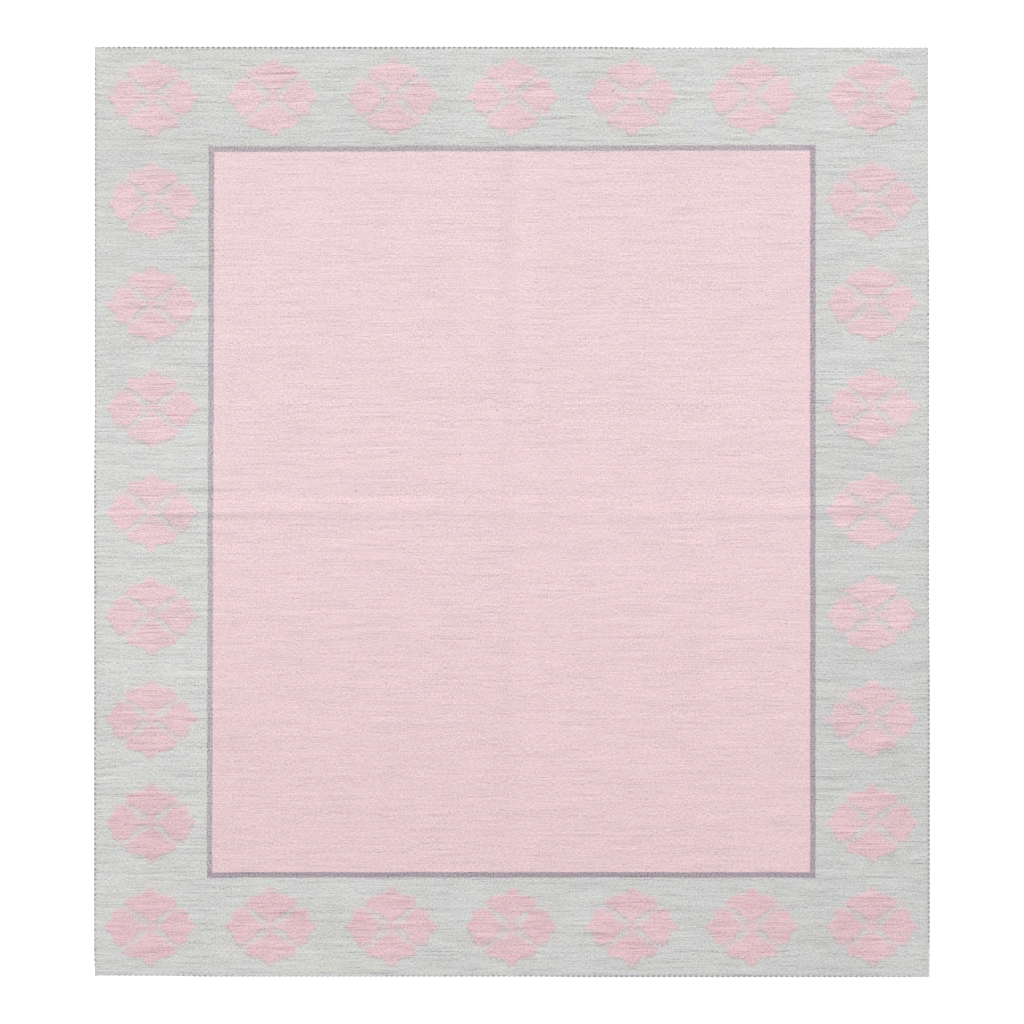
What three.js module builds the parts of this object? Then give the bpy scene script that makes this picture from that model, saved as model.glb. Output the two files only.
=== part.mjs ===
// Flatweave rug, laid flat: one tapestry-woven wool cloth, with overcast yarn sewn round its four edges.
// Millimetres, +Z up. The origin is on the floor under the middle of the rug.
// +X runs along the weft, to the rug's right, and +Y along the warp, to its head.
import * as THREE from 'three';

// Driving sizes
const rugWidth = 2740;          // along X, over the edging
const rugLength = 3050;         // along Y, over the edging
const clothThickness = 5;
const rimWidth = 9;             // strip along the cloth's edge that the stitches press down
const rimDrop = 1.2;            // how far the rim is pressed down at the very edge
const edgingOutside = 4;        // edging that stands outside the cloth's edge
const edgingOver = 6;           // edging that lies over the top of the cloth
const yarnThickness = 2.2;
const fitGap = 0.3;             // clearance between the cloth and the yarn
const panelSpacing = 110;       // largest step between the lines of points across the cloth
const closestLines = 5;         // least step between the lines of points over the folds

const halfWidth = rugWidth / 2;
const halfLength = rugLength / 2;
const edgingDepth = edgingOutside + edgingOver;

// The hand-woven edges wander a little.
// inset is how far an edge lies inside the full size at a place along it.
const edgeDrift = {
  left: [
    { along: -1525, inset: 2.6 },
    { along: -1430, inset: 0 },
    { along: 70, inset: 0 },
    { along: 330, inset: 2.1 },
    { along: 1525, inset: 2.1 },
  ],
  right: [
    { along: -1525, inset: 1.3 },
    { along: -1340, inset: 0 },
    { along: -550, inset: 0 },
    { along: -320, inset: 2.3 },
    { along: 820, inset: 2.3 },
    { along: 1000, inset: 5.4 },
    { along: 1525, inset: 5.6 },
  ],
  top: [
    { along: -1370, inset: 0 },
    { along: 290, inset: 0 },
    { along: 420, inset: 2.1 },
    { along: 1370, inset: 2.1 },
  ],
  bottom: [
    { along: -1370, inset: 5.2 },
    { along: -1120, inset: 4.3 },
    { along: -1000, inset: 1.7 },
    { along: 90, inset: 1.7 },
    { along: 220, inset: 0 },
    { along: 1370, inset: 0 },
  ],
};

// Storage folds in the cloth's top: a positive height is a ridge and a negative one a trough.
// low and high are the widths of a fold's two sides, before and after its centre line.
const lengthwiseFolds = [
  {
    centre: 8,
    low: 50,
    high: 85,
    heights: [
      { along: -1400, height: 0 },
      { along: -1100, height: -1.0 },
      { along: -500, height: -1.5 },
      { along: 0, height: -1.2 },
      { along: 500, height: -1.7 },
      { along: 1100, height: -1.9 },
      { along: 1400, height: 0 },
    ],
  },
];
const crosswiseFolds = [
  {
    centre: 2,
    low: 38,
    high: 50,
    heights: [
      { along: -1340, height: 0 },
      { along: -1240, height: 0.9 },
      { along: -1080, height: 1.6 },
      { along: -960, height: 2.6 },
      { along: -850, height: 2.3 },
      { along: -100, height: 1.6 },
      { along: 60, height: 0.7 },
      { along: 400, height: 0.8 },
      { along: 800, height: 1.6 },
      { along: 1020, height: 2.6 },
      { along: 1240, height: 0.9 },
      { along: 1340, height: 0 },
    ],
  },
  // Two short puckers beside it, at the left of the field
  {
    centre: 90,
    low: 30,
    high: 26,
    heights: [
      { along: -1130, height: 0 },
      { along: -1050, height: 2.2 },
      { along: -985, height: 2.2 },
      { along: -930, height: 1.0 },
      { along: -830, height: 0 },
    ],
  },
  {
    centre: -57,
    low: 24,
    high: 28,
    heights: [
      { along: -1120, height: 0 },
      { along: -1060, height: 1.4 },
      { along: -985, height: 2.2 },
      { along: -940, height: 0.9 },
      { along: -870, height: 0 },
    ],
  },
];

// Value of a table's column at a place along it, straight between the rows and level past the ends.
function valueAt(table, column, along) {
  const next = table.findIndex((row) => row.along >= along);
  if (next === 0) return table[0][column];
  if (next < 0) return table[table.length - 1][column];
  const a = table[next - 1];
  const b = table[next];
  return THREE.MathUtils.mapLinear(along, a.along, b.along, a[column], b[column]);
}

const insetAt = (side, along) => valueAt(edgeDrift[side], 'inset', along);

// Height of one fold over the flat cloth, at a place along it and a place across it.
function foldHeight(fold, along, across) {
  const side = across < fold.centre ? fold.low : fold.high;
  const t = Math.min(Math.abs(across - fold.centre) / side, 1);
  return valueAt(fold.heights, 'height', along) * (1 - t * t) ** 2;
}

function heightOf(folds, along, across) {
  return folds.reduce((sum, fold) => sum + foldHeight(fold, along, across), 0);
}

// Lines of points from one rim to the other: even panels, with close lines over the folds in the middle.
function stationsAcross(half, folds) {
  const rimInside = half - edgingOutside - rimWidth;
  const foldLines = folds
    .flatMap(({ centre, low, high }) => [-low, -low / 2, 0, high / 2, high].map((step) => centre + step))
    .sort((a, b) => a - b)
    .filter((line, i, lines) => i === 0 || line - lines[i - 1] > closestLines);
  const evenLines = (from, to) => {
    const steps = Math.ceil((to - from) / panelSpacing);
    return Array.from({ length: steps }, (unused, i) => from + ((to - from) * i) / steps);
  };
  const foldEnd = foldLines.pop();
  const before = evenLines(-rimInside, foldLines[0]);
  const after = evenLines(foldEnd, rimInside);
  return [-half + edgingOutside, ...before, ...foldLines, ...after, rimInside, half - edgingOutside];
}

const columns = stationsAcross(halfWidth, lengthwiseFolds);
const rows = stationsAcross(halfLength, crosswiseFolds);

// A place on one line of points, pushed in at the two rim lines by the drift of the edge that they follow.
function driftedPlace(stations, index, insetLow, insetHigh) {
  const fromEnd = stations.length - 1 - index;
  if (index <= 1) return stations[index] + insetLow;
  if (fromEnd <= 1) return stations[index] - insetHigh;
  return stations[index];
}

function movePoints(geometry, place) {
  const points = geometry.getAttribute('position');
  const point = new THREE.Vector3();
  for (let i = 0; i < points.count; i += 1) {
    place(point.fromBufferAttribute(points, i));
    points.setXYZ(i, point.x, point.y, point.z);
  }
  geometry.computeVertexNormals();
  return geometry;
}

// The cloth: a flat underside, a pressed rim and the folds in its top.
function clothGeometry() {
  const acrossCount = columns.length - 1;
  const alongCount = rows.length - 1;
  const sheet = new THREE.BoxGeometry(acrossCount, alongCount, 1, acrossCount, alongCount, 1);
  return movePoints(sheet, (point) => {
    const column = Math.round(point.x + acrossCount / 2);
    const row = Math.round(point.y + alongCount / 2);
    const onTop = point.z > 0;
    const [x, y] = [columns[column], rows[row]];
    const onRim = column % acrossCount === 0 || row % alongCount === 0;
    point.x = driftedPlace(columns, column, insetAt('left', y), insetAt('right', y));
    point.y = driftedPlace(rows, row, insetAt('bottom', x), insetAt('top', x));
    const fold = heightOf(lengthwiseFolds, y, x) + heightOf(crosswiseFolds, x, y);
    const top = clothThickness + fold - (onRim ? rimDrop : 0);
    point.z = onTop ? top : 0;
  });
}

// Section of the edging: X is measured in from the rug's outside edge, Y is the height over the floor.
function edgingSection() {
  const wall = edgingOutside - fitGap;
  const underRim = clothThickness - rimDrop + fitGap;
  const underTip = underRim + (rimDrop * (edgingOver + fitGap)) / rimWidth;
  const crown = underRim + yarnThickness;
  const footRound = 1.2;
  const crownRound = 2.4;
  const section = new THREE.Shape();
  section.moveTo(wall, 0);
  section.lineTo(wall, underRim);
  section.lineTo(edgingDepth, underTip);
  section.quadraticCurveTo(edgingDepth, crown, edgingDepth - crownRound, crown);
  section.lineTo(crownRound, crown);
  section.quadraticCurveTo(0, crown, 0, crown - crownRound);
  section.lineTo(0, footRound);
  section.quadraticCurveTo(0, 0, footRound, 0);
  return section;
}

// One side's edging, run straight between two ends and then set on that edge's drift.
// place turns a distance in from the edge and a place along it into X and Y.
function edgingGeometry(stations, place) {
  const steps = stations.length - 1;
  const straightRun = { depth: steps, steps, bevelEnabled: false, curveSegments: 3 };
  const bar = new THREE.ExtrudeGeometry(edgingSection(), straightRun);
  return movePoints(bar, (point) => {
    const along = stations[Math.round(point.z)];
    const [inFromEdge, height] = [point.x, point.y];
    const [x, y] = place(inFromEdge, along);
    point.set(x, y, height);
  });
}

// The side runs go from end to end of the rug, and the head and foot runs fit between them.
const cornerGap = edgingDepth + fitGap;
const sideRun = (side) => {
  const corner = side === 'left' ? -halfWidth : halfWidth;
  const low = -halfLength + insetAt('bottom', corner);
  const high = halfLength - insetAt('top', corner);
  return [low, ...rows.slice(1, -1), high];
};
const endRun = (side) => {
  const corner = side === 'top' ? halfLength : -halfLength;
  const low = -halfWidth + insetAt('left', corner) + cornerGap;
  const high = halfWidth - insetAt('right', corner) - cornerGap;
  return [low, ...columns.slice(2, -2), high];
};

const edgings = [
  {
    name: 'edging_left',
    stations: sideRun('left').reverse(),
    place: (inward, y) => [-halfWidth + insetAt('left', y) + inward, y],
  },
  {
    name: 'edging_right',
    stations: sideRun('right'),
    place: (inward, y) => [halfWidth - insetAt('right', y) - inward, y],
  },
  {
    name: 'edging_top',
    stations: endRun('top').reverse(),
    place: (inward, x) => [x, halfLength - insetAt('top', x) - inward],
  },
  {
    name: 'edging_bottom',
    stations: endRun('bottom'),
    place: (inward, x) => [x, -halfLength + insetAt('bottom', x) + inward],
  },
];

const wovenWool = new THREE.MeshStandardMaterial({ color: 0xecd3d7, roughness: 0.95, metalness: 0 });
const edgingYarn = new THREE.MeshStandardMaterial({ color: 0x8d8590, roughness: 0.9, metalness: 0 });

const rug = new THREE.Group();
const cloth = new THREE.Mesh(clothGeometry(), wovenWool);
cloth.name = 'rug_cloth';
rug.add(cloth);

for (const { name, stations, place } of edgings) {
  const run = new THREE.Mesh(edgingGeometry(stations, place), edgingYarn.clone());
  run.name = name;
  rug.add(run);
}

export default rug;
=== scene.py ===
import math

import bmesh
import bpy
import numpy as np
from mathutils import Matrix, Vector


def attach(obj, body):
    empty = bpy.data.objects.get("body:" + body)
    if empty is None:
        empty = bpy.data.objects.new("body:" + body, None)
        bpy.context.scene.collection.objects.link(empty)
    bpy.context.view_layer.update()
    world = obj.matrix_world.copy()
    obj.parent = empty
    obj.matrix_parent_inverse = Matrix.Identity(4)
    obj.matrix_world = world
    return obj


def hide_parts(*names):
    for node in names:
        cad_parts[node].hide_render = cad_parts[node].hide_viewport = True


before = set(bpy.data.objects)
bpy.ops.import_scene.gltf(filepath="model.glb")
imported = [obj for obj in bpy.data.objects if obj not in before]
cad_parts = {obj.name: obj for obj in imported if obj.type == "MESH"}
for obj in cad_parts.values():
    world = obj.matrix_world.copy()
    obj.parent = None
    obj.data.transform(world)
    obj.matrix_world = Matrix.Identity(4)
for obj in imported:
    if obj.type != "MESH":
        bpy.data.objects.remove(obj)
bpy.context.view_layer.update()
print("frame loaded:", sorted(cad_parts))

# Lengths below are in millimetres, in the part's frame; meshes are turned to metres as they are made.
rug = {
    "halfWidth": 1370.0,
    "halfLength": 1525.0,
    "thickness": 5.0,
}

# How far each hand-woven edge lies inside the full size, by place along it
edgeDrift = {
    "left": [(-1525, 2.6), (-1430, 0), (70, 0), (330, 2.1), (1525, 2.1)],
    "right": [(-1525, 1.3), (-1340, 0), (-550, 0), (-320, 2.3), (820, 2.3), (1000, 5.4), (1525, 5.6)],
    "top": [(-1370, 0), (290, 0), (420, 2.1), (1370, 2.1)],
    "bottom": [(-1370, 5.2), (-1120, 4.3), (-1000, 1.7), (90, 1.7), (220, 0), (1370, 0)],
}

# Storage folds: centre line, the widths of the two sides, and the height by place along
lengthwiseFolds = [
    {"centre": 8, "low": 50, "high": 85,
     "heights": [(-1400, 0), (-1100, -1.0), (-500, -1.5), (0, -1.2), (500, -1.7), (1100, -1.9), (1400, 0)]},
]
crosswiseFolds = [
    {"centre": 2, "low": 38, "high": 50,
     "heights": [(-1340, 0), (-1240, 0.9), (-1080, 1.6), (-960, 2.6), (-850, 2.3), (-100, 1.6), (60, 0.7),
                 (400, 0.8), (800, 1.6), (1020, 2.6), (1240, 0.9), (1340, 0)]},
    {"centre": 90, "low": 30, "high": 26,
     "heights": [(-1130, 0), (-1050, 2.2), (-985, 2.2), (-930, 1.0), (-830, 0)]},
    {"centre": -57, "low": 24, "high": 28,
     "heights": [(-1120, 0), (-1060, 1.4), (-985, 2.2), (-940, 0.9), (-870, 0)]},
]
# Sharper creases beside the folds, too narrow for the solid
creases = [
    {"centre": -8, "low": 14, "high": 12,
     "heights": [(-1366, 0), (-1330, 1.2), (-1220, 0.5), (-1100, 1.0), (-1020, 1.9), (-970, 1.5),
                 (-900, 0.4), (-600, 0), (980, 0), (1030, 0.6), (1200, 0)]},
    {"centre": 74, "low": 11, "high": 12,
     "heights": [(-1140, 0), (-1070, 1.0), (-985, 1.5), (-920, 0.4), (-840, 0)]},
    {"centre": -66, "low": 11, "high": 12,
     "heights": [(-1110, 0), (-1050, 0.5), (-985, 1.1), (-940, 0.2), (-900, 0)]},
    {"centre": -36, "low": 10, "high": 9,
     "heights": [(-1366, 0), (-1310, 0.5), (-1180, 0)]},
]


def tableAt(table, along):
    places, values = zip(*table)
    return np.interp(along, places, values)


def foldHeights(folds, along, across):
    total = np.zeros(np.broadcast(along, across).shape)
    for fold in folds:
        side = np.where(across < fold["centre"], fold["low"], fold["high"])
        t = np.minimum(np.abs(across - fold["centre"]) / side, 1)
        total = total + tableAt(fold["heights"], along) * (1 - t * t) ** 2
    return total


def easeStep(t):
    t = np.clip(t, 0, 1)
    return t * t * (3 - 2 * t)


# Slow random swells: one random value for each cell of a grid, eased from cell to cell
def slowNoise(x, y, lengthX, lengthY, draws):
    table = draws.normal(size=(160, 160))
    gridX, gridY = x / lengthX + 70, y / lengthY + 70
    i, j = np.floor(gridX).astype(int) % 159, np.floor(gridY).astype(int) % 159
    u, v = easeStep(gridX % 1), easeStep(gridY % 1)
    low = table[i, j] * (1 - u) + table[i + 1, j] * u
    high = table[i, j + 1] * (1 - u) + table[i + 1, j + 1] * u
    return low * (1 - v) + high * v


def meshPiece(name, points, faces, attributes):
    mesh = bpy.data.meshes.new(name)
    mesh.from_pydata((np.asarray(points) * 0.001).tolist(), [], faces)
    for label, values in attributes.items():
        layer = mesh.attributes.new(label, "FLOAT", "POINT")
        layer.data.foreach_set("value", np.asarray(values, dtype=np.float32))
    mesh.shade_smooth()
    piece = bpy.data.objects.new(name, mesh)
    bpy.context.collection.objects.link(piece)
    return piece


def hexColour(code):                      # sRGB hex to linear
    parts = [int(code[i:i + 2], 16) / 255 for i in (0, 2, 4)]
    linear = [p / 12.92 if p <= 0.04045 else ((p + 0.055) / 1.055) ** 2.4 for p in parts]
    return (*linear, 1.0)


# Adds a node; inputs are values, sockets or nodes, in a list in order or in a dictionary by name
def addNode(tree, kind, inputs=(), **settings):
    node = tree.nodes.new("ShaderNode" + kind)
    for setting, value in settings.items():
        setattr(node, setting, value)
    sockets = [socket for socket in node.inputs if socket.enabled]
    named = inputs.items() if isinstance(inputs, dict) else enumerate(inputs)
    for key, value in named:
        socket = sockets[key] if isinstance(key, int) else node.inputs[key]
        if isinstance(value, bpy.types.Node):
            value = next(output for output in value.outputs if output.enabled)
        if isinstance(value, bpy.types.NodeSocket):
            tree.links.new(value, socket)
        else:
            socket.default_value = value
    return node


# The woven cloth

cloth = {
    "edgeInset": 2.5,                     # the cloth ends this far inside the outline, in the edging yarn
    "edgeRound": 0.4,
    "edgeLines": (0.12, 0.4, 0.9, 1.6),   # close lines of points that keep the rounding to the very edge
    "rimTop": 4.75,                       # the stitches press the rim down
    "rimUnder": 2.4,                      # and their yarn passes under it
    "rimWidth": 14.0,
    "rimLine": 6.0,                       # one more line of points across the rim
    "underWidth": 32.0,
    "pickPitch": 5.2,                     # picks of weft, drawn at about twice their real spacing
    "pickUneven": 0.16,
    "ribHeight": 0.24,
    "slubHeight": 0.16,                   # thick and thin places in the handspun weft
    "waver": 3.6,                         # how far the picks stray from straight
    "waverSize": (210.0, 140.0),
    "straightRim": 60.0,                  # they straighten over this width towards the edge
    "swell": 0.30,
    "swellSize": (170.0, 130.0),
    "calmRim": 20.0,                      # ribs and swells fade out over this width towards the edge
    "columnSpacing": 46.0,
    "foldSpacing": 15.0,
    "undersideSpacing": 250.0,
    "seed": 17,
}


# The rug's height over the floor at a distance in from its cloth edge
def rimHeight(inset):
    middle = (cloth["rimTop"] + cloth["rimUnder"]) / 2
    t = np.clip(1 - inset / cloth["edgeRound"], 0, 1)
    rounded = middle + (cloth["rimTop"] - middle) * np.sqrt(1 - t * t)
    rise = easeStep((inset - cloth["edgeRound"]) / (cloth["rimWidth"] - cloth["edgeRound"]))
    return rounded + (rug["thickness"] - cloth["rimTop"]) * rise


# Moves a place on the straight-edged cloth to where the drifting edges put it
def withDrift(x, y):
    reach = 160.0
    toLeft, toRight = (easeStep(1 - (rug["halfWidth"] + side * x) / reach) for side in (1, -1))
    toBottom, toTop = (easeStep(1 - (rug["halfLength"] + side * y) / reach) for side in (1, -1))
    movedX = x + tableAt(edgeDrift["left"], y) * toLeft - tableAt(edgeDrift["right"], y) * toRight
    movedY = y + tableAt(edgeDrift["bottom"], x) * toBottom - tableAt(edgeDrift["top"], x) * toTop
    return movedX, movedY


def evenSteps(start, end, spacing):
    return np.linspace(start, end, max(2, round((end - start) / spacing) + 1))


def clothColumns():
    edge = rug["halfWidth"] - cloth["edgeInset"]
    rim = np.array([0, *cloth["edgeLines"], cloth["rimLine"], cloth["rimWidth"]])
    fold = lengthwiseFolds[0]
    start, end = fold["centre"] - fold["low"], fold["centre"] + fold["high"]
    left = evenSteps(-edge + cloth["rimWidth"], start, cloth["columnSpacing"])
    right = evenSteps(end, edge - cloth["rimWidth"], cloth["columnSpacing"])
    middle = evenSteps(start, end, cloth["foldSpacing"])
    return np.concatenate([rim - edge, left[1:], middle[1:], right[1:], edge - rim[-2::-1]])


# Rows from foot to head: the valley before each pick and its crest, with close rows at the two ends
def clothRows(draws):
    edge = rug["halfLength"] - cloth["edgeInset"]
    count = round(2 * edge / cloth["pickPitch"])
    widths = 1 + cloth["pickUneven"] * draws.normal(size=count).clip(-2, 2)
    valleys = np.concatenate([[0], np.cumsum(widths)])
    valleys = valleys / valleys[-1] * 2 * edge - edge
    crests = (valleys[:-1] + valleys[1:]) / 2
    rows = np.empty(2 * count + 1)
    rows[0::2], rows[1::2] = valleys, crests
    close = np.array(cloth["edgeLines"])
    return np.concatenate([rows[:1], close - edge, rows[1:-1], edge - close[::-1], rows[-1:]])


def clothPoints(columns, rows, draws):
    x, y = np.meshgrid(columns, rows)
    edgeX, edgeY = columns[-1], rows[-1]
    inset = np.minimum(edgeX - np.abs(x), edgeY - np.abs(y))
    inside = easeStep(inset / cloth["calmRim"])
    crest = (np.arange(len(rows)) % 2)[:, None]
    picks = len(rows) // 2
    slub = draws.normal(size=(picks, len(columns)))
    slub = 0.6 * slub + 0.4 * np.roll(slub, 1, axis=1)
    thick = np.zeros(x.shape)
    thick[1::2] = slub
    height = rimHeight(inset) + foldHeights(lengthwiseFolds, y, x)
    height += foldHeights(crosswiseFolds + creases, x, y)
    height += cloth["swell"] * slowNoise(x, y, *cloth["swellSize"], draws) * inside
    height += (crest - 0.5) * cloth["ribHeight"] * inside
    height += cloth["slubHeight"] * thick * inside
    strayed = slowNoise(x, y, *cloth["waverSize"], draws)
    y = y + cloth["waver"] * strayed * easeStep(inset / cloth["straightRim"])
    x, y = withDrift(x, y)
    return np.stack([x, y, height], axis=-1), thick


# Joins two open runs of points, of different counts, into a strip of triangles
def stripFaces(fine, coarse, points):
    faces = []
    i = j = 0
    lengths = [np.linalg.norm(points[run] - points[run][0], axis=1) for run in (fine, coarse)]
    fineAt, coarseAt = (length / length[-1] for length in lengths)
    while i < len(fine) - 1 or j < len(coarse) - 1:
        takeFine = j == len(coarse) - 1 or (i < len(fine) - 1 and fineAt[i + 1] <= coarseAt[j + 1])
        if takeFine:
            faces.append((fine[i], fine[i + 1], coarse[j]))
            i += 1
        else:
            faces.append((fine[i], coarse[j + 1], coarse[j]))
            j += 1
    return faces


def gridFaces(index):
    a, b, c, d = index[:-1, :-1], index[:-1, 1:], index[1:, 1:], index[1:, :-1]
    return np.stack([a, b, c, d], axis=-1).reshape(-1, 4).tolist()


def fourSides(index):                     # the boundary of a grid of point numbers, as four runs
    return [index[0, :], index[:, -1], index[-1, ::-1], index[::-1, 0]]


def makeCloth():
    draws = np.random.default_rng(cloth["seed"])
    columns, rows = clothColumns(), clothRows(draws)
    top, thick = clothPoints(columns, rows, draws)
    edgeX, edgeY = columns[-1], rows[-1]

    topIndex = np.arange(top.shape[0] * top.shape[1]).reshape(top.shape[:2])
    points = [top.reshape(-1, 3)]
    faces = gridFaces(topIndex)

    # two rings that carry the rounded edge to the underside
    rim = np.concatenate([run[:-1] for run in fourSides(topIndex)])
    x, y = np.meshgrid(columns, rows)
    flatX, flatY = x.ravel()[rim], y.ravel()[rim]
    rings = [rim]
    for inset in (0.3 * cloth["edgeRound"], cloth["edgeRound"]):
        ringX, ringY = withDrift(flatX * (1 - inset / edgeX), flatY * (1 - inset / edgeY))
        middle = (cloth["rimTop"] + cloth["rimUnder"]) / 2
        t = 1 - inset / cloth["edgeRound"]
        height = middle - (middle - cloth["rimUnder"]) * math.sqrt(1 - t * t)
        rings.append(sum(len(part) for part in points) + np.arange(len(rim)))
        points.append(np.stack([ringX, ringY, np.full(len(rim), height)], axis=-1))
        outer, inner = rings[-2], rings[-1]
        strip = np.stack([outer, np.roll(outer, -1), np.roll(inner, -1), inner], axis=-1)
        faces += strip.tolist()

    # the underside, flat on the floor apart from the lifted rim
    lifted, level = cloth["rimWidth"], cloth["underWidth"]
    underRuns = []
    for edge in (edgeX, edgeY):
        inner = evenSteps(-edge + level, edge - level, cloth["undersideSpacing"])
        underRuns.append(np.concatenate([[-edge + lifted], inner, [edge - lifted]]))
    x, y = np.meshgrid(*underRuns)
    inset = np.minimum(edgeX - np.abs(x), edgeY - np.abs(y))
    height = cloth["rimUnder"] * (1 - easeStep((inset - lifted) / (level - lifted)))
    under = np.stack([*withDrift(x, y), height], axis=-1)
    underIndex = sum(len(part) for part in points) + np.arange(x.size).reshape(x.shape)
    points.append(under.reshape(-1, 3))
    faces += gridFaces(underIndex)

    allPoints = np.concatenate(points)
    counts = np.cumsum([0] + [len(run) - 1 for run in fourSides(topIndex)])
    closedRing = np.append(rings[-1], rings[-1][0])
    for side, coarse in enumerate(fourSides(underIndex)):
        fine = closedRing[counts[side]:counts[side + 1] + 1]
        faces += [tuple(int(i) for i in face) for face in stripFaces(fine, coarse, allPoints)]

    # the number of the pick at each point, with its fraction the way across that pick
    pickOfRow = np.arange(len(rows)) / 2
    pick = np.interp(allPoints[:, 1], rows, pickOfRow)
    pick[:topIndex.size] = np.repeat(pickOfRow, len(columns))
    slub = np.zeros(len(allPoints))
    slub[:topIndex.size] = thick.ravel()
    piece = meshPiece("rug_cloth_woven", allPoints, faces, {"pick": pick, "slub": slub})

    shape = bmesh.new()
    shape.from_mesh(piece.data)
    bmesh.ops.recalc_face_normals(shape, faces=shape.faces)
    shape.to_mesh(piece.data)
    shape.free()
    layClothMap(piece)
    return piece


# The face takes most of the map, and the underside a small place beside it
def layClothMap(piece):
    mesh = piece.data
    layer = mesh.uv_layers.new(name="OFBake")
    corners = np.empty(len(mesh.loops), dtype=np.int32)
    mesh.loops.foreach_get("vertex_index", corners)
    flat = np.empty(len(mesh.vertices) * 3)
    mesh.vertices.foreach_get("co", flat)
    place = flat.reshape(-1, 3)[corners, :2]
    normals = np.empty(len(mesh.polygons) * 3)
    mesh.polygons.foreach_get("normal", normals)
    sizes = np.empty(len(mesh.polygons), dtype=np.int32)
    mesh.polygons.foreach_get("loop_total", sizes)
    faceUp = np.repeat(normals.reshape(-1, 3)[:, 2] > -0.05, sizes)
    width, length = 0.002 * rug["halfWidth"], 0.002 * rug["halfLength"]
    onFace = 0.005 + (place + [width / 2, length / 2]) * (0.86 * 0.985 / width)
    onUnder = (place + [width / 2, length / 2]) * (0.115 / width) + [0.877, 0.01]
    uv = np.where(faceUp[:, None], onFace, onUnder)
    layer.data.foreach_set("uv", uv.astype(np.float32).ravel())


clothPiece = makeCloth()
print("cloth woven:", len(clothPiece.data.polygons), "faces")


# Tapestry-woven handspun wool: matte, heathered by uneven dyeing, with long darker and lighter runs along
# the weft, small beads where it goes over the warps, and motifs whose outlines step from pick to pick.
wool = {
    "fieldHead": "DFC7CB",                # the field's dye turns a little warmer towards the foot
    "fieldFoot": "E1C6C9",
    "borderWarm": "C9C9C4",               # two lots of undyed grey, warmer mostly at the left
    "borderCool": "C9C9CB",
    "lotSize": 110.0,
    "petalHead": "D9BEC3",                # the petals are darker towards the foot
    "petalFoot": "D2B4B9",
    "petalLine": "BE8D97",                # single strands of a deeper rose
    "band": "B2A9AF",
    "bandDeep": "A79AA3",                 # darker, at the right side and the foot
    "edgeTint": "B9B6BF",
    "rimTint": {"from": -20.0, "to": -6.0, "most": 0.28},       # the edging's colour bleeds in
    "warpSpacing": 4.2,                   # beads and grain drawn at about twice their real size
    "beadHeight": (2.0, 6.0),
    "beadTone": 0.05,
    # painted light and shade of the weft's thick and thin places
    "paintedSlubShading": 0.012,
    "grainSize": (5.2, 3.2),
    "heatherSize": 34.0,
    "heather": 0.05,
    "runLength": 160.0,
    "pairLength": 12.0,
    "patchSize": (170.0, 17.0),
    "cloudSize": 300.0,
    "bandOutside": (995.0, 1198.0),
    "bandWidth": 18.0,
    "motifPitch": (393.0, 339.6),
    "motifStep": 5.0,
    "motifSoft": {"dye": 9.0, "edge": 4.0},           # the dye felts out past the edge that the picks make
    "turnBack": {"pair": 3.8, "strand": 1.4},
    "turnLength": {"pair": 55.0, "strand": 15.0},
    "runOn": 7.0,                         # how far a strand passes a petal's edge or stops short of it
    "runOnLength": 24.0,
    "stray": {"motif": 4.0, "band": 2.0},
    "strayLength": 110.0,
    "deepStrands": {"length": 210.0, "strength": 0.55},
    "paleStrands": {"length": 160.0, "strength": 0.16},
    "edgeShadeLength": 60.0,
    "sideMiddle": 1100.0,                 # from the rug's middle to the middle of a side border, about
    "lean": {"left": 0.0029, "top": 0.0026},
    "grain": {"field": 0.40, "border": 0.50, "band": 1.35},
    "runs": {"field": 0.14, "border": 0.25},
    "wholePicks": 0.07,
    "wholePickLength": 900.0,
    "pairs": {"field": 0.40, "border": 0.50},
    "patches": {"field": 0.05, "border": 0.18},
    "clouds": {"field": 0.03, "border": 0.10},
    "paintedEdgeShading": {"lower": -0.14, "upper": 0.03},         # painted shade under the petals' lower edges and painted light on their upper ones, as if they stood a little proud of the ground
    "haze": 0.23,                         # petal fibres felted into the ground between the petals
    "hazeReach": (98.0, 79.0),
    "hazeFade": (0.85, 1.15),             # where it fades out, in shares of its reach
    "brightest": 1.17,
    "brightestSoft": 0.12,
    "burr": "7A5F66",                     # specks of chaff: their places, and how plainly each shows
    "burrs": [(332, 1378, 0.8), (-170, 188, 0.6), (-48, 333, 0.5), (-510, 65, 0.5)],
}

# The four-petal flower, charted as half widths in mm by distance from its centre
flowerChart = {
    "upright": {
        "reach": 140.0,
        "width": 90.0,
        "outline": [(0, 9), (20, 10), (35, 30), (50, 48), (60, 69), (70, 82), (80, 84), (95, 72), (106, 28),
                    (112, 18), (122, 12), (130, 0), (140, -14)],
    },
    "sideways": {
        "reach": 165.0,
        "width": 65.0,
        "outline": [(0, 8), (35, 9), (45, 18), (60, 39), (70, 49), (85, 58), (110, 57), (120, 48), (130, 19),
                    (145, 8), (150, 0), (165, -12)],
    },
}

# Tone along the warp: darker towards the foot, and each side border along its own curve
toneAlongWarp = {
    "field": [(-1525, 0.895), (-1200, 0.905), (-730, 0.935), (-145, 0.975), (440, 0.995), (1525, 1.0)],
    "left": [(-1525, 0.945), (-1180, 0.955), (-165, 1.01), (400, 1.0), (900, 0.985), (1190, 0.955),
             (1330, 0.985), (1525, 1.0)],
    "right": [(-1525, 0.90), (-700, 0.91), (-165, 0.93), (400, 0.97), (900, 0.99), (1525, 1.005)],
}


def drawCurve(curve, spots):              # puts a chart's points on a curve node, level past its end
    curve.mapping.use_clip = False
    curve.mapping.extend = "HORIZONTAL"
    line = curve.mapping.curves[0]
    line.points[0].location, line.points[-1].location = spots[0], spots[-1]
    for spot in spots[1:-1]:
        line.points.new(*spot)
    curve.mapping.update()


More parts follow.
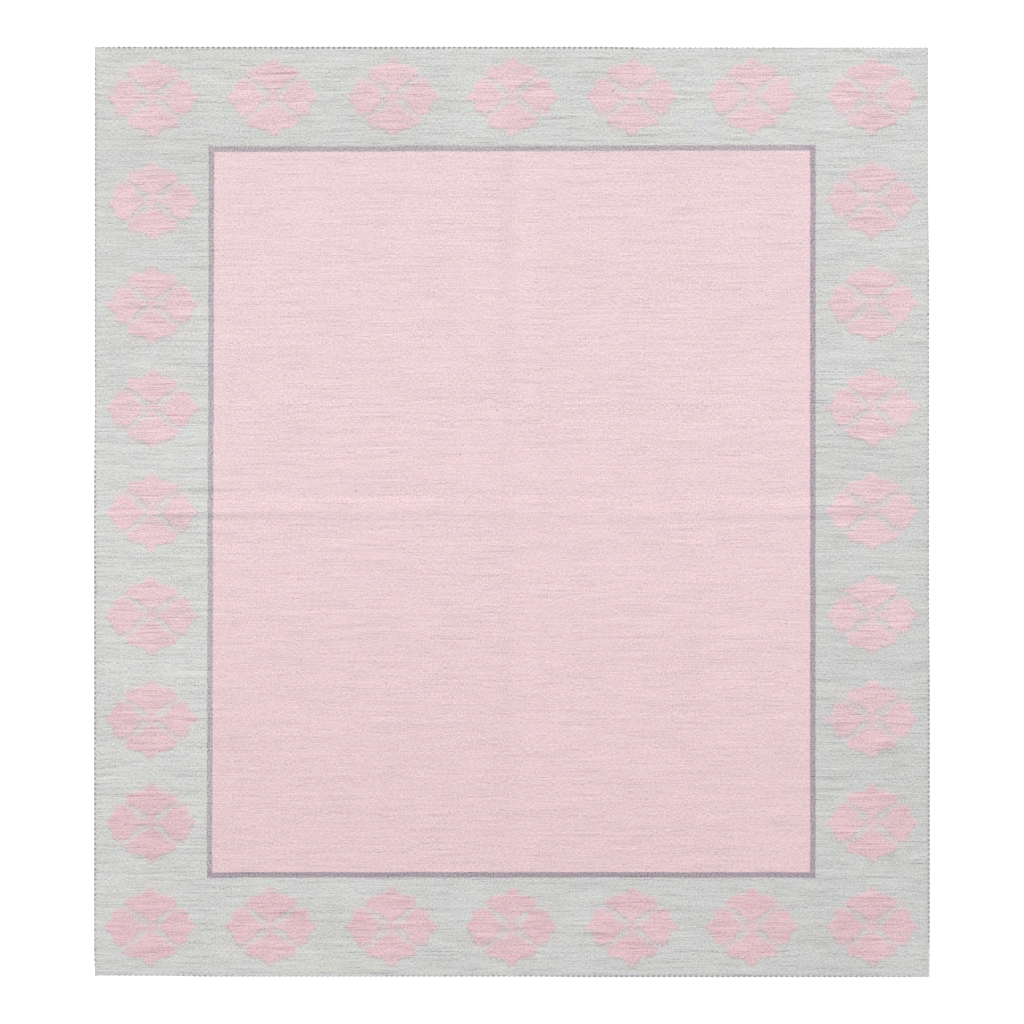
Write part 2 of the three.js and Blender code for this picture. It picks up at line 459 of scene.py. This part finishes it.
# Where a point lies on the cloth in mm, and in which pick of weft
def clothPlaces(tree):
    inMetres = addNode(tree, "TexCoord").outputs["Object"]
    inMm = addNode(tree, "VectorMath", [inMetres, 1000.0], operation="SCALE")
    split = addNode(tree, "SeparateXYZ", [inMm])
    pick = addNode(tree, "Attribute", attribute_name="pick").outputs["Fac"]
    return {
        "mm": inMm,
        "x": split.outputs["X"],
        "y": split.outputs["Y"],
        "pick": pick,
        "slub": addNode(tree, "Attribute", attribute_name="slub").outputs["Fac"],
        "pickNumber": addNode(tree, "Math", [pick], operation="FLOOR"),
        "acrossPick": addNode(tree, "Math", [pick], operation="FRACT"),
        "pair": addNode(tree, "Math", [pick, 2.0], operation="SNAP"),
        "strand": addNode(tree, "Math", [pick, 0.5], operation="SNAP"),
    }


def flatNoise(tree, spot, size, detail):
    inputs = {"Vector": spot, "Scale": 1 / size, "Detail": detail}
    return addNode(tree, "TexNoise", inputs, noise_dimensions="2D")


# Noise along the rows of weft, of a length in mm and drawn afresh for each row.
# spread sets the rows apart in the noise, with its own number for each use.
def alongRows(tree, place, length, row, spread, detail):
    across = addNode(tree, "Math", [place["x"], length], operation="DIVIDE")
    down = addNode(tree, "Math", [place[row], spread], operation="MULTIPLY")
    spot = addNode(tree, "CombineXYZ", [across, down, 0.0])
    return flatNoise(tree, spot, 1.0, detail)


# Shares of petal at a place, for its dye and for the edge of its picks:
# the border is folded onto a quarter of one flower, with the chart's two petals
def petalShare(tree, motifX, motifY, runOn):
    u = addNode(tree, "Math", [motifX, wool["motifPitch"][0] / 2], operation="PINGPONG")
    v = addNode(tree, "Math", [motifY, wool["motifPitch"][1] / 2], operation="PINGPONG")
    insides = []
    for chart, along, across in ((flowerChart["upright"], v, u), (flowerChart["sideways"], u, v)):
        reached = addNode(tree, "Math", [along, chart["reach"]], operation="DIVIDE")
        curve = addNode(tree, "FloatCurve", [1.0, reached])
        drawCurve(curve, [(at / chart["reach"], half / chart["width"]) for at, half in chart["outline"]])
        half = addNode(tree, "Math", [curve, chart["width"]], operation="MULTIPLY")
        insides.append(addNode(tree, "Math", [half, across], operation="SUBTRACT"))
    inside = addNode(tree, "Math", insides, operation="MAXIMUM")
    inside = addNode(tree, "Math", [inside, runOn], operation="ADD")
    petal = {}
    for part, soft in wool["motifSoft"].items():
        petal[part] = addNode(tree, "MapRange", [inside, -soft, soft, 0.0, 1.0],
                              interpolation_type="SMOOTHSTEP")
    spot = addNode(tree, "CombineXYZ", [u, v, 0.0])
    spot = addNode(tree, "VectorMath", [spot, (*wool["hazeReach"], 1.0)], operation="DIVIDE")
    reached = addNode(tree, "VectorMath", [spot], operation="LENGTH").outputs["Value"]
    haze = addNode(tree, "MapRange", [reached, *wool["hazeFade"], wool["haze"], 0.0])
    petal["dye"] = addNode(tree, "Mix", [haze, petal["dye"], 1.0])
    return petal


# Which colour is woven where: shares of band, field and petal, and where petals meet the ground, for the
# painted edge shading
def wovenPattern(tree, place):
    # hand weaving strays, and the left side and the head of the pattern lean a little
    stray = flatNoise(tree, place["mm"], wool["strayLength"], 2.0)
    stray = addNode(tree, "VectorMath", [stray.outputs["Color"], (0.5, 0.5, 0.5)], operation="SUBTRACT")
    leftSide = addNode(tree, "MapRange", [place["x"], -1000.0, 1000.0, -wool["lean"]["left"], 0.0])
    headSide = addNode(tree, "MapRange", [place["y"], -1000.0, 1000.0, 0.0, -wool["lean"]["top"]])
    strayed = {}
    for part, reach in wool["stray"].items():
        moved = addNode(tree, "VectorMath", [stray, 2 * reach], operation="SCALE")
        moved = addNode(tree, "VectorMath", [place["mm"], moved], operation="ADD")
        moved = addNode(tree, "SeparateXYZ", [moved])
        leanX = addNode(tree, "Math", [place["y"], leftSide, moved.outputs["X"]], operation="MULTIPLY_ADD")
        leanY = addNode(tree, "Math", [place["x"], headSide, moved.outputs["Y"]], operation="MULTIPLY_ADD")
        strayed[part] = leanX, leanY

    # each pair of picks turns back at its own warp, and each strand a little apart:
    # that steps the upright edges
    turn = 0.0
    for row, spread in (("pair", 3.7), ("strand", 6.1)):
        back = alongRows(tree, place, wool["turnLength"][row], row, spread, 0.0)
        back = addNode(tree, "MapRange", [back, 0.2, 0.8, -wool["turnBack"][row], wool["turnBack"][row]])
        turn = addNode(tree, "Math", [back, turn], operation="ADD")

    # distance outside the band's outer edge
    bandX = addNode(tree, "Math", [turn, 0.2, strayed["band"][0]], operation="MULTIPLY_ADD")
    bandX = addNode(tree, "Math", [bandX], operation="ABSOLUTE")
    bandY = addNode(tree, "Math", [strayed["band"][1]], operation="ABSOLUTE")
    pastSide = addNode(tree, "Math", [bandX, wool["bandOutside"][0]], operation="SUBTRACT")
    pastEnd = addNode(tree, "Math", [bandY, wool["bandOutside"][1]], operation="SUBTRACT")
    pastBand = addNode(tree, "Math", [pastSide, pastEnd], operation="MAXIMUM")
    share = {}
    for part, edge in (("band", 0.0), ("field", -wool["bandWidth"])):
        share[part] = addNode(tree, "MapRange", [pastBand, edge + 2.0, edge - 2.0, 0.0, 1.0],
                              interpolation_type="SMOOTHSTEP")

    # the petals' share is taken there, a little above and a little below: the last two differ at the edges
    # along a pick, by over 0 at a petal's lower edge and under 0 at its upper one
    motifX = addNode(tree, "Math", [strayed["motif"][0], turn], operation="ADD")
    runOn = alongRows(tree, place, wool["runOnLength"], "strand", 13.7, 0.0)
    runOn = addNode(tree, "MapRange", [runOn, 0.2, 0.8, -wool["runOn"], wool["runOn"]])
    sampled = []
    for step in (wool["motifStep"], 0.0, -wool["motifStep"]):
        motifY = addNode(tree, "Math", [strayed["motif"][1], step], operation="ADD")
        sampled.append(petalShare(tree, motifX, motifY, runOn))
    above, level, below = sampled
    petal = addNode(tree, "Mix", [0.5, above["dye"], below["dye"]])
    petal = addNode(tree, "Mix", [1 / 3, petal, level["dye"]])
    meet = addNode(tree, "Math", [above["edge"], below["edge"]], operation="SUBTRACT")
    share["petal"] = addNode(tree, "Mix", [share["band"], petal, 0.0])
    share["meet"] = addNode(tree, "Mix", [share["band"], meet, 0.0])
    return share


# One strength in the border and another in the field
def byGround(tree, share, strength):
    return addNode(tree, "MapRange", [share["field"], 0.0, 1.0, strength["border"], strength["field"]])


def dyedColour(tree, place, share):
    footward = addNode(tree, "MapRange", [place["y"], 900.0, -1100.0, 0.0, 1.0])
    field = addNode(tree, "Mix", [footward, hexColour(wool["fieldHead"]), hexColour(wool["fieldFoot"])],
                    data_type="RGBA")
    onRight = addNode(tree, "MapRange", [place["x"], 960.0, 975.0, 0.0, 0.6])
    onFoot = addNode(tree, "MapRange", [place["y"], -1165.0, -1178.0, 0.0, 1.0])
    bandDarker = addNode(tree, "Math", [onRight, onFoot], operation="MAXIMUM")
    band = addNode(tree, "Mix", [bandDarker, hexColour(wool["band"]), hexColour(wool["bandDeep"])],
                   data_type="RGBA")
    deeper = addNode(tree, "MapRange", [place["y"], -100.0, -1150.0, 0.0, 1.0],
                     interpolation_type="SMOOTHSTEP")
    petal = addNode(tree, "Mix", [deeper, hexColour(wool["petalHead"]), hexColour(wool["petalFoot"])],
                    data_type="RGBA")
    line = alongRows(tree, place, wool["deepStrands"]["length"], "strand", 19.3, 1.0)
    line = addNode(tree, "MapRange", [line, 0.64, 0.76, 0.0, wool["deepStrands"]["strength"]])
    petal = addNode(tree, "Mix", [line, petal, hexColour(wool["petalLine"])], data_type="RGBA")
    lots = flatNoise(tree, place["mm"], wool["lotSize"], 1.0)
    cooler = addNode(tree, "MapRange", [place["x"], -wool["sideMiddle"], wool["sideMiddle"], -0.28, -0.12])
    cooler = addNode(tree, "Math", [lots.outputs["Fac"], 1.3, cooler], operation="MULTIPLY_ADD")
    border = addNode(tree, "Mix", [cooler, hexColour(wool["borderWarm"]), hexColour(wool["borderCool"])],
                     data_type="RGBA")
    colour = addNode(tree, "Mix", [share["petal"], border, petal], data_type="RGBA")
    colour = addNode(tree, "Mix", [share["band"], colour, band], data_type="RGBA")
    colour = addNode(tree, "Mix", [share["field"], colour, field], data_type="RGBA")
    for x, y, plain in wool["burrs"]:
        apart = addNode(tree, "VectorMath", [place["mm"], (x, y, rug["thickness"])], operation="DISTANCE")
        onBurr = addNode(tree, "MapRange", [apart.outputs["Value"], 4.0, 1.5, 0.0, plain])
        colour = addNode(tree, "Mix", [onBurr, colour, hexColour(wool["burr"])], data_type="RGBA")

    # the edging's colour bleeds a little into the outer strip
    fromEdge = []
    for along, half in ((place["x"], rug["halfWidth"]), (place["y"], rug["halfLength"])):
        out = addNode(tree, "Math", [along], operation="ABSOLUTE")
        fromEdge.append(addNode(tree, "Math", [out, half], operation="SUBTRACT"))
    atRim = addNode(tree, "Math", fromEdge, operation="MAXIMUM")
    tint = wool["rimTint"]
    atRim = addNode(tree, "MapRange", [atRim, tint["from"], tint["to"], 0.0, tint["most"]])
    colour = addNode(tree, "Mix", [atRim, colour, hexColour(wool["edgeTint"])], data_type="RGBA")

    # heather: fibres of slightly different dyes carded together
    heather = flatNoise(tree, place["mm"], wool["heatherSize"], 2.0)
    return addNode(tree, "Mix", [wool["heather"], colour, heather.outputs["Color"]], data_type="RGBA",
                   blend_type="OVERLAY")


# Noise stretched along the picks, of a width and a height in mm, from about -0.5 to 0.5
def alongPicks(tree, place, size, detail):
    across = addNode(tree, "Math", [place["x"], size[0]], operation="DIVIDE")
    down = addNode(tree, "Math", [place["pick"], cloth["pickPitch"] / size[1]], operation="MULTIPLY")
    spot = addNode(tree, "CombineXYZ", [across, down, 0.0])
    noise = flatNoise(tree, spot, 1.0, detail)
    return addNode(tree, "Math", [noise, 0.5], operation="SUBTRACT")


# How much lighter or darker the yarn is than its dye, with painted light and shade among it, and the height
# of its beads
def yarnShade(tree, place, share):
    parts = []

    # runs of darker and lighter yarn along single strands
    run = alongRows(tree, place, wool["runLength"], "strand", 27.4, 3.0)
    darkRun = addNode(tree, "MapRange", [run, 0.55, 0.78, 0.0, -1.0])
    lightRun = addNode(tree, "MapRange", [run, 0.44, 0.24, 0.0, 0.6])
    runs = addNode(tree, "Math", [darkRun, lightRun], operation="ADD")
    parts.append((runs, byGround(tree, share, wool["runs"])))

    # pale strands across the petals
    pale = alongRows(tree, place, wool["paleStrands"]["length"], "strand", 11.9, 1.0)
    pale = addNode(tree, "MapRange", [pale, 0.61, 0.73, 0.0, 1.0])
    pale = addNode(tree, "Math", [pale, share["petal"]], operation="MULTIPLY")
    parts.append((pale, wool["paleStrands"]["strength"]))

    # whole picks a shade lighter or darker
    tint = alongRows(tree, place, wool["wholePickLength"], "pickNumber", 7.7, 0.0)
    tint = addNode(tree, "Math", [tint, 0.5], operation="SUBTRACT")
    parts.append((tint, wool["wholePicks"]))

    # painted shade under a petal's lower edge, uneven along it, and a little painted light on its upper one
    uneven = alongRows(tree, place, wool["edgeShadeLength"], "strand", 5.3, 0.0)
    uneven = addNode(tree, "MapRange", [uneven, 0.35, 0.62, 0.3, 1.0])
    for edge, most in (("lower", 1.0), ("upper", -1.0)):
        atEdge = addNode(tree, "MapRange", [share["meet"], 0.0, most, 0.0, 1.0])
        atEdge = addNode(tree, "Math", [atEdge, uneven], operation="MULTIPLY")
        parts.append((atEdge, wool["paintedEdgeShading"][edge]))

    # painted light and shade, as if of the two picks in a pair one lay a little higher: one is painted
    # lighter and the other darker, and which one changes along the row
    paintedPairShading = alongRows(tree, place, wool["pairLength"], "pair", 2.9, 1.0)
    paintedPairShading = addNode(tree, "Math", [paintedPairShading, 0.5], operation="SUBTRACT")
    turned = addNode(tree, "Math", [place["pick"], math.pi], operation="MULTIPLY")
    turned = addNode(tree, "Math", [turned], operation="SINE")
    paintedPairShading = addNode(tree, "Math", [paintedPairShading, turned], operation="MULTIPLY")
    parts.append((paintedPairShading, byGround(tree, share, wool["pairs"])))

    # grain of thick and thin places, along the picks
    grain = alongPicks(tree, place, wool["grainSize"], 0.0)
    grainStrength = addNode(tree, "Mix", [share["band"], wool["grain"]["border"], wool["grain"]["band"]])
    grainStrength = addNode(tree, "Mix", [share["field"], grainStrength, wool["grain"]["field"]])
    parts.append((grain, grainStrength))

    # patches a few picks high, a little darker or lighter,
    # and soft lighter and darker clouds
    patch = alongPicks(tree, place, wool["patchSize"], 2.0)
    parts.append((patch, byGround(tree, share, wool["patches"])))
    cloud = flatNoise(tree, place["mm"], wool["cloudSize"], 3.0)
    cloud = addNode(tree, "Math", [cloud, 0.5], operation="SUBTRACT")
    parts.append((cloud, byGround(tree, share, wool["clouds"])))

    # beads of weft over the warps, staggered from pick to pick
    stagger = addNode(tree, "Math", [place["pickNumber"], 0.5], operation="MULTIPLY")
    warp = addNode(tree, "Math", [place["x"], 1 / wool["warpSpacing"], stagger], operation="MULTIPLY_ADD")
    acrossBead = addNode(tree, "Math", [warp], operation="FRACT")
    beadNumber = addNode(tree, "Math", [warp], operation="FLOOR")
    beadSpot = addNode(tree, "CombineXYZ", [beadNumber, place["pickNumber"], 0.0])
    beadDraw = addNode(tree, "TexWhiteNoise", [beadSpot], noise_dimensions="2D")
    parts.append((addNode(tree, "MapRange", [beadDraw, 0.0, 1.0, -1.0, 1.0]), wool["beadTone"]))
    # painted light on the thicker, higher places of the weft and painted shade on the thinner, lower ones
    parts.append((place["slub"], wool["paintedSlubShading"]))
    domes = []
    for across in (acrossBead, place["acrossPick"]):
        rest = addNode(tree, "Math", [1.0, across], operation="SUBTRACT")
        domes.append(addNode(tree, "Math", [across, rest], operation="MULTIPLY"))
    dome = addNode(tree, "Math", domes, operation="MULTIPLY")
    domeHeight = addNode(tree, "MapRange", [beadDraw, 0.0, 1.0, *wool["beadHeight"]])
    bead = addNode(tree, "Math", [dome, domeHeight], operation="MULTIPLY")

    # the tone along the warp
    toneAt = addNode(tree, "MapRange", [place["y"], -rug["halfLength"], rug["halfLength"], 0.0, 1.0])
    tones = {}
    for part, values in toneAlongWarp.items():
        tones[part] = addNode(tree, "FloatCurve", [1.0, toneAt])
        drawCurve(tones[part], [((at / rug["halfLength"] + 1) / 2, value) for at, value in values])
    rightward = addNode(tree, "MapRange", [place["x"], -wool["sideMiddle"], wool["sideMiddle"], 0.0, 1.0])
    tone = addNode(tree, "Mix", [rightward, tones["left"], tones["right"]])
    tone = addNode(tree, "Mix", [share["petal"], tone, 1.0])
    tone = addNode(tree, "Mix", [share["field"], tone, tones["field"]])

    shade = 1.0
    for part, strength in parts:
        shade = addNode(tree, "Math", [part, strength, shade], operation="MULTIPLY_ADD")
    shade = addNode(tree, "Math", [shade, wool["brightest"], wool["brightestSoft"]], operation="SMOOTH_MIN")
    return addNode(tree, "Math", [shade, tone], operation="MULTIPLY"), bead


def wovenWool():
    material = bpy.data.materials.new("tapestry_woven_wool")
    material.use_nodes = True
    tree = material.node_tree
    shader = tree.nodes["Principled BSDF"]
    place = clothPlaces(tree)
    share = wovenPattern(tree, place)
    shade, bead = yarnShade(tree, place, share)
    colour = addNode(tree, "VectorMath", [dyedColour(tree, place, share), shade], operation="SCALE")
    relief = addNode(tree, "Bump", {"Strength": 1.0, "Distance": 0.001, "Height": bead})
    tree.links.new(colour.outputs[0], shader.inputs["Base Color"])
    tree.links.new(relief.outputs[0], shader.inputs["Normal"])
    shader.inputs["Roughness"].default_value = 0.94
    shader.inputs["Specular IOR Level"].default_value = 0.15
    shader.inputs["Sheen Weight"].default_value = 0.08
    shader.inputs["Sheen Roughness"].default_value = 0.5
    return material


clothPiece.data.materials.append(wovenWool())
print("wool dyed:", clothPiece.data.materials[0].name)


# The overcast edging

edging = {
    "pitch": {"left": 16.4, "right": 15.7, "top": 17.0, "bottom": 17.4},
    "strands": 3,
    "strandRadius": 1.1,
    "strandSpacing": 2.7,
    "plyDepth": 0.14,                     # two plies twisted together give the strand two lobes
    "plyTurn": 7.5,                       # one turn of the twist in mm
    "sidesRound": 8,
    "steps": 14,
    "sinkMost": 1.0,                      # how far the least-seen stitches have sunk into the cloth
    "reachLeast": 6.8,
    "reachMost": 9.2,
    "slant": 1.6,
    "clearEnds": {"sides": 9.0, "ends": 15.0},        # from a corner to the first stitch
    "uneven": {"place": 0.5, "show": 0.12, "slant": 0.4, "reach": 0.5},
    "seed": 23,
}

# How plainly the stitches show along each edge: in places they have sunk into the cloth and worn pale
stitchShow = {
    "left": [(-1525, 0), (-1490, 0), (-1480, 0.4), (-1280, 0.5), (-1270, 0.7), (130, 0.7),
             (140, 0.42), (1020, 0.42), (1050, 0.36), (1480, 0.3), (1490, 0), (1525, 0)],
    "right": [(-1525, 0), (-1410, 0), (-1405, 0.95), (-545, 0.95), (-535, 0.45), (825, 0.4),
              (835, 0), (1525, 0)],
    "top": [(-1370, 0), (-1345, 0), (-1335, 0.4), (-1250, 0.6), (-1160, 0.78), (400, 0.82),
            (410, 0.3), (815, 0.2), (920, 0), (1370, 0)],
    "bottom": [(-1370, 0), (-1308, 0), (-1300, 0.3), (-1085, 0.3), (-1070, 0.4), (-925, 0.4),
               (-915, 0.2), (-430, 0.2), (-420, 0.45), (165, 0.5), (175, 0.95), (870, 0.95),
               (1000, 0.85), (1200, 0.6), (1310, 0.45), (1320, 0), (1370, 0)],
}


# One strand's way round the edge: in from the outline and height, from the hole on top to the hole beneath
def strandWay(reach, sunk):
    low, high = edging["strandRadius"], cloth["rimTop"] + edging["strandRadius"] - sunk
    corners = np.array([
        (reach, high - 1.9), (reach - 1.0, high - 0.8), (reach * 0.55 + 0.6, high - 0.4), (2.8, high - 0.7),
        (low + 0.8, high - 1.9), (low + 0.7, low + 1.5), (2.6, low + 0.1), (reach * 0.6 + 1.0, low),
        (reach + 1.0, low + 1.0),
    ])
    along = np.linspace(0, len(corners) - 1, edging["steps"])
    spans = np.minimum(along.astype(int), len(corners) - 2)
    t = (along - spans)[:, None]
    padded = np.concatenate([[2 * corners[0] - corners[1]], corners, [2 * corners[-1] - corners[-2]]])
    a, b, c, d = (padded[spans + k] for k in range(4))
    squared, cubed = 2 * a - 5 * b + 4 * c - d, 3 * b - a - 3 * c + d
    return 0.5 * (2 * b + (c - a) * t + squared * t ** 2 + cubed * t ** 3)


# Points of one strand in edge coordinates: along the edge, in from it, and height
def strandPoints(along, reach, sunk, slant, turn):
    way = strandWay(reach, sunk)
    forward = np.gradient(way, axis=0)
    forward /= np.linalg.norm(forward, axis=1)[:, None]
    travelled = np.concatenate([[0], np.cumsum(np.linalg.norm(np.diff(way, axis=0), axis=1))])
    angles = np.arange(edging["sidesRound"]) * 2 * math.pi / edging["sidesRound"]
    twist = 2 * math.pi * travelled / edging["plyTurn"] + turn
    lobes = 1 + edging["plyDepth"] * np.cos(2 * (angles[None, :] - twist[:, None]))
    radius = edging["strandRadius"] * lobes
    lean = slant * (travelled / travelled[-1] - 0.3)
    sideways = radius * np.cos(angles)
    outward = radius * np.sin(angles)
    alongEdge = along + lean[:, None] + sideways
    inward = way[:, :1] - forward[:, 1:] * outward
    height = way[:, 1:] + forward[:, :1] * outward
    return np.stack([alongEdge, inward, np.maximum(height, 0)], axis=-1).reshape(-1, 3)


def strandFaces():
    steps, sides = edging["steps"], edging["sidesRound"]
    faces = []
    for step in range(steps - 1):
        for side in range(sides):
            a, b = step * sides + side, step * sides + (side + 1) % sides
            faces.append((a, b, b + sides, a + sides))
    faces.append(tuple(range(sides))[::-1])
    faces.append(tuple((steps - 1) * sides + side for side in range(sides)))
    return faces


# Turns edge coordinates into places on the rug
def onEdge(side, points):
    along, inward, height = points.T
    inset = inward + tableAt(edgeDrift[side], along)
    acrossX = {"left": inset - rug["halfWidth"], "right": rug["halfWidth"] - inset}
    acrossY = {"bottom": inset - rug["halfLength"], "top": rug["halfLength"] - inset}
    if side in acrossX:
        return np.stack([acrossX[side], along, height], axis=-1)
    return np.stack([along, acrossY[side], height], axis=-1)


def makeEdging(side, draws):
    upright = side in ("left", "right")
    half = rug["halfLength"] if upright else rug["halfWidth"]
    clear = edging["clearEnds"]["sides" if upright else "ends"]
    uneven = edging["uneven"]
    count = round((2 * half - 2 * clear) / edging["pitch"][side])
    places = np.linspace(-half + clear, half - clear, count)
    points, fade = [], []
    for middle in places:
        middle = middle + draws.normal() * uneven["place"]
        show = float(np.clip(tableAt(stitchShow[side], middle) + draws.normal() * uneven["show"], 0, 1.1))
        slant = edging["slant"] * (1 + uneven["slant"] * draws.normal())
        for strand in range(edging["strands"]):
            offset = (strand - (edging["strands"] - 1) / 2) * edging["strandSpacing"]
            reach = edging["reachLeast"] + (edging["reachMost"] - edging["reachLeast"]) * show
            reach = max(reach + draws.normal() * uneven["reach"], edging["reachLeast"])
            sunk = edging["sinkMost"] * (1 - min(show, 1))
            made = strandPoints(middle + offset, reach, sunk, slant, draws.uniform(0, math.pi))
            points.append(onEdge(side, made))
            fade.append(np.full(len(made), show))
    pattern = strandFaces()
    size = edging["steps"] * edging["sidesRound"]
    faces = [tuple(k * size + i for i in face) for k in range(len(points)) for face in pattern]
    attributes = {"show": np.concatenate(fade)}
    piece = meshPiece(f"edging_{side}_stitches", np.concatenate(points), faces, attributes)
    shape = bmesh.new()
    shape.from_mesh(piece.data)
    bmesh.ops.recalc_face_normals(shape, faces=shape.faces)
    shape.to_mesh(piece.data)
    shape.free()
    return piece


# Twisted two-ply wool yarn: matte and slightly fuzzy, dark mauve-grey, paler where it has sunk and worn.
yarn = {
    "fresh": "B0ABB2",
    "worn": "D3D2D6",
    "fibreLength": 3.0,
}


def twistedYarn():
    material = bpy.data.materials.new("twisted_wool_yarn")
    material.use_nodes = True
    tree = material.node_tree
    shader = tree.nodes["Principled BSDF"]
    inMetres = addNode(tree, "TexCoord").outputs["Object"]
    inMm = addNode(tree, "VectorMath", [inMetres, 1000.0], operation="SCALE")
    show = addNode(tree, "Attribute", attribute_name="show").outputs["Fac"]
    unworn = addNode(tree, "MapRange", [show, 0.0, 0.6, 0.0, 1.0])
    fibre = addNode(tree, "TexNoise", {"Vector": inMm, "Scale": 1 / yarn["fibreLength"], "Detail": 3.0})
    heather = addNode(tree, "MapRange", [fibre.outputs["Fac"], 0.3, 0.7, 0.85, 1.15])
    colour = addNode(tree, "Mix", [unworn, hexColour(yarn["worn"]), hexColour(yarn["fresh"])],
                     data_type="RGBA")
    colour = addNode(tree, "VectorMath", [colour, heather], operation="SCALE")
    relief = addNode(tree, "Bump", {"Strength": 0.6, "Distance": 0.0004, "Height": fibre.outputs["Fac"]})
    tree.links.new(colour.outputs[0], shader.inputs["Base Color"])
    tree.links.new(relief.outputs[0], shader.inputs["Normal"])
    shader.inputs["Roughness"].default_value = 0.9
    shader.inputs["Specular IOR Level"].default_value = 0.2
    shader.inputs["Sheen Weight"].default_value = 0.1
    return material


stitchDraws = np.random.default_rng(edging["seed"])
yarnMaterial = twistedYarn()
edgingPieces = {}
for side in ("left", "right", "top", "bottom"):
    edgingPieces[side] = makeEdging(side, stitchDraws)
    edgingPieces[side].data.materials.append(yarnMaterial)
    print("edging sewn:", side, len(edgingPieces[side].data.polygons), "faces")


# What each piece stands for

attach(clothPiece, "root")
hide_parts("rug_cloth")
for side, piece in edgingPieces.items():
    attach(piece, "root")
    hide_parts(f"edging_{side}")


# Floor, light and camera

studio = {
    "floor": "F6F6F6",
    "floorSize": 180.0,                   # this section is in metres
    "floorLevel": -0.0003,
    "floorGlow": 0.5,                     # painted light: the sweep glows as if lit from behind, so it burns out to white
    "worldLight": 0.518,
    "keyStrength": 3.68,
    "keySoftness": 28.0,                  # degrees
    "keyFrom": (-0.8, 0.85, 0.75),
    "lens": 85.0,
    "cameraHeight": 7.92,
    "cameraPlace": (0.0011, -0.0011),
}


def makeFloor():
    half, level = studio["floorSize"] / 2, studio["floorLevel"]
    corners = [(-half, -half, level), (half, -half, level), (half, half, level), (-half, half, level)]
    mesh = bpy.data.meshes.new("studio_floor")
    mesh.from_pydata(corners, [], [(0, 1, 2, 3)])
    floor = bpy.data.objects.new("studio_floor", mesh)
    bpy.context.collection.objects.link(floor)
    material = bpy.data.materials.new("white_paper_sweep")
    material.use_nodes = True
    shader = material.node_tree.nodes["Principled BSDF"]
    shader.inputs["Base Color"].default_value = hexColour(studio["floor"])
    shader.inputs["Roughness"].default_value = 0.9
    shader.inputs["Specular IOR Level"].default_value = 0.1
    # painted light: the floor's own glow burns out the rug's shadows on it
    shader.inputs["Emission Color"].default_value = hexColour(studio["floor"])
    shader.inputs["Emission Strength"].default_value = studio["floorGlow"]
    mesh.materials.append(material)
    return floor


makeFloor()

world = bpy.data.worlds.new("studio_world")
world.use_nodes = True
world.node_tree.nodes["Background"].inputs["Color"].default_value = (1, 1, 1, 1)
world.node_tree.nodes["Background"].inputs["Strength"].default_value = studio["worldLight"]
bpy.context.scene.world = world

keyLight = bpy.data.lights.new("key_light", "SUN")
keyLight.energy = studio["keyStrength"]
keyLight.angle = math.radians(studio["keySoftness"])
key = bpy.data.objects.new("key_light", keyLight)
key.rotation_euler = Vector(studio["keyFrom"]).to_track_quat("Z", "Y").to_euler()
bpy.context.collection.objects.link(key)

cameraLens = bpy.data.cameras.new("overhead_camera")
cameraLens.lens = studio["lens"]
cameraLens.clip_end = 200
camera = bpy.data.objects.new("overhead_camera", cameraLens)
camera.location = (*studio["cameraPlace"], studio["cameraHeight"])
bpy.context.collection.objects.link(camera)
bpy.context.scene.camera = camera
bpy.context.scene.view_settings.view_transform = "Standard"
print("studio set")
